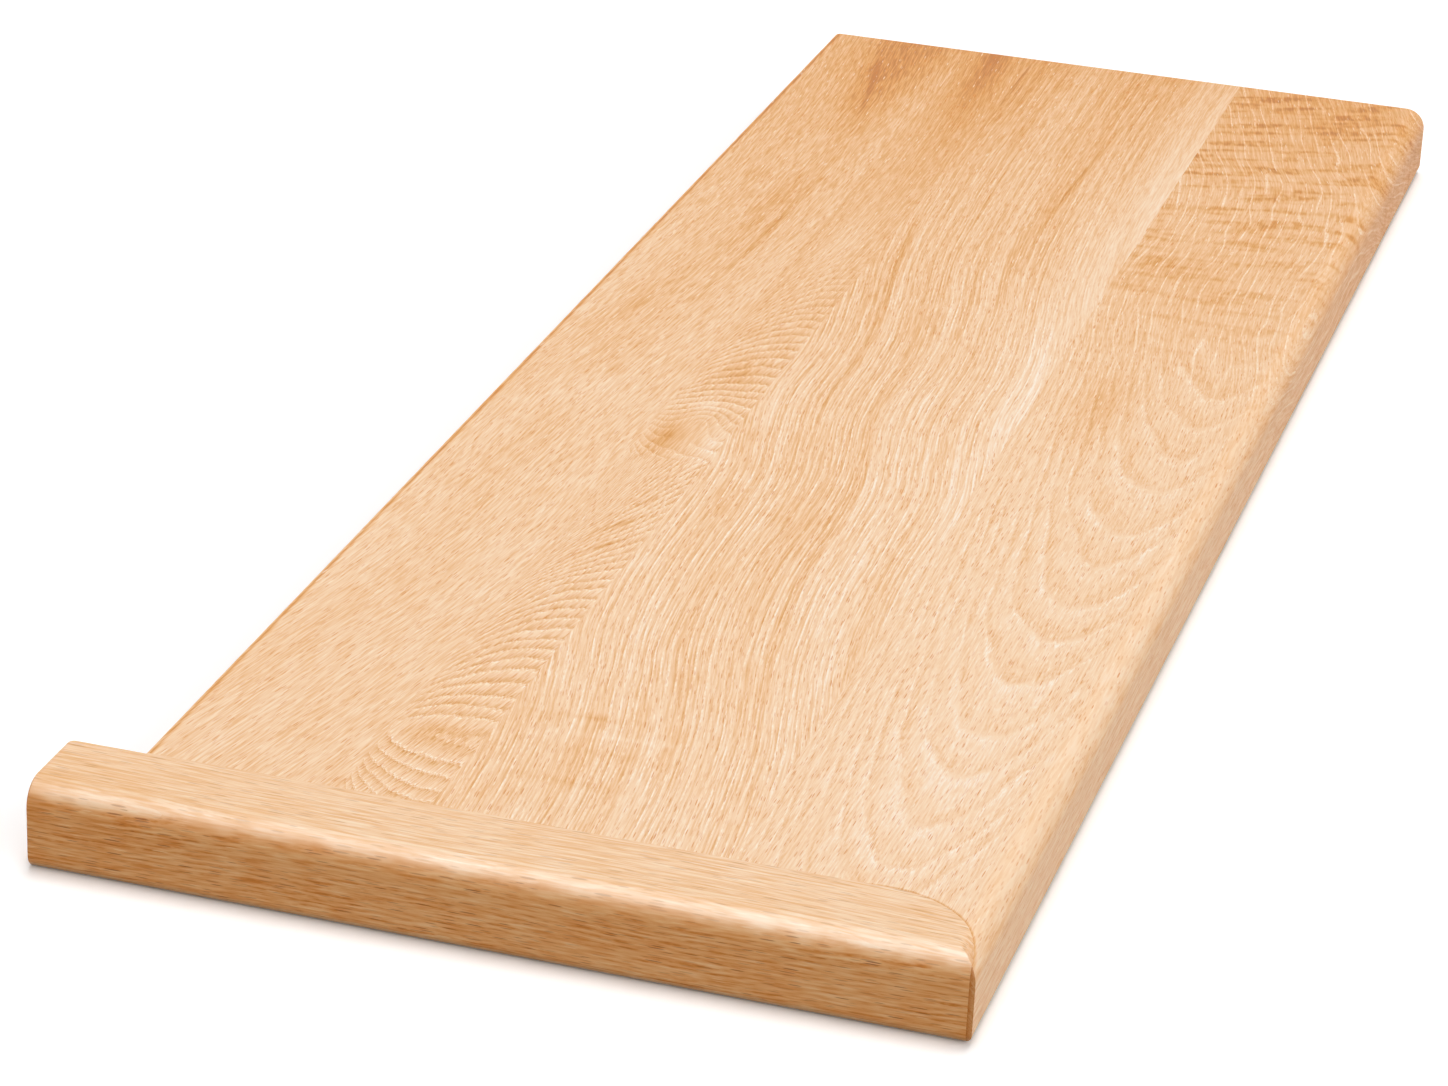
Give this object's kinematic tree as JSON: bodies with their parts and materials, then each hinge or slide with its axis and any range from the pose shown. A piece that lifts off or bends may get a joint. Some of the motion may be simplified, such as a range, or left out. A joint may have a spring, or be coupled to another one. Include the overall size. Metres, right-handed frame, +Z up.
{
  "type": "stair tread",
  "caption": "Solid hardwood stair tread, edge-glued from boards, with a moulded nosing along its front and a return nosing across its open end.",
  "frame": {"origin": "middle of the footprint's bounding box, on the underside", "axes": "+X along the tread from the return nosing to the plain end, +Y from the front nosing to the back edge, +Z up through the thickness"},
  "size_m": [0.9, 0.328, 0.032],
  "materials": {
    "back_board": "sanded, clear satin",
    "narrow_board": "sanded, clear satin",
    "middle_board": "sanded, clear satin",
    "front_board": "sanded, clear satin",
    "return_nosing": "sanded, clear satin"
  },
  "bodies": {
    "root": {"back_board": "back_board", "narrow_board": "narrow_board", "middle_board": "middle_board", "front_board": "front_board", "return_nosing": "return_nosing"}
  },
  "joints": []
}
